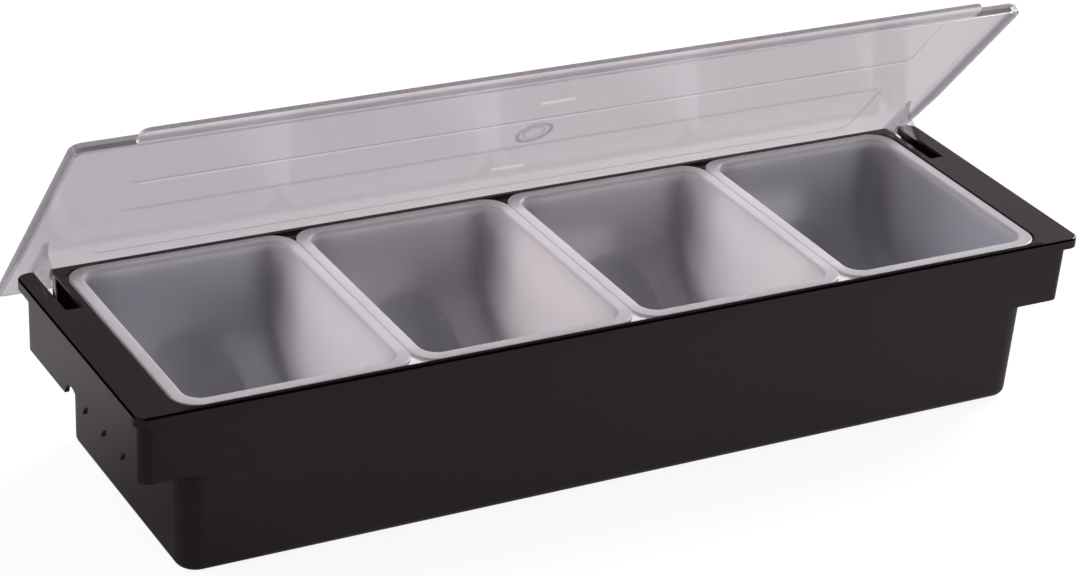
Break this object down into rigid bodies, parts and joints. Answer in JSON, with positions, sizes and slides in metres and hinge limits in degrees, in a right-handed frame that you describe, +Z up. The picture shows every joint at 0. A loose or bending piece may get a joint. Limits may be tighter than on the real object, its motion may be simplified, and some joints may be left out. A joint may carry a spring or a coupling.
{
  "type": "garnish tray",
  "caption": "Long bar garnish tray with a dark moulded base, lift-out white inserts side by side and a clear hinged lid with a finger tab.",
  "frame": {"origin": "middle of the flat underside of the base, on the surface that it stands on", "axes": "+X along the tray to the right, +Y from the front to the hinge side, +Z up"},
  "size_m": [0.4972, 0.1717, 0.1881],
  "materials": {
    "base_plastic": "moulded black ABS, glossy flange, finely textured sides",
    "insert_plastic": "milky white polypropylene, satin",
    "lid_plastic": "hazy clear moulded plastic"
  },
  "bodies": {
    "base": {"tray_base": "base_plastic"},
    "insert_1": {"insert_1": "insert_plastic"},
    "insert_2": {"insert_2": "insert_plastic"},
    "insert_3": {"insert_3": "insert_plastic"},
    "insert_4": {"insert_4": "insert_plastic"},
    "lid": {"lid": "lid_plastic"}
  },
  "joints": [
    {"name": "lid_hinge", "type": "hinge", "parent": "base", "child": "lid", "pos_m": [0, 0.0612, 0.059], "axis": [-1, 0, 0], "range_deg": [-50.5, 0]},
    {"name": "insert_1_lift", "type": "slide", "parent": "base", "child": "insert_1", "axis": [0, 0, 1], "range_m": [0, 0.008]},
    {"name": "insert_2_lift", "type": "slide", "parent": "base", "child": "insert_2", "axis": [0, 0, 1], "range_m": [0, 0.008]},
    {"name": "insert_3_lift", "type": "slide", "parent": "base", "child": "insert_3", "axis": [0, 0, 1], "range_m": [0, 0.008]},
    {"name": "insert_4_lift", "type": "slide", "parent": "base", "child": "insert_4", "axis": [0, 0, 1], "range_m": [0, 0.008]}
  ]
}
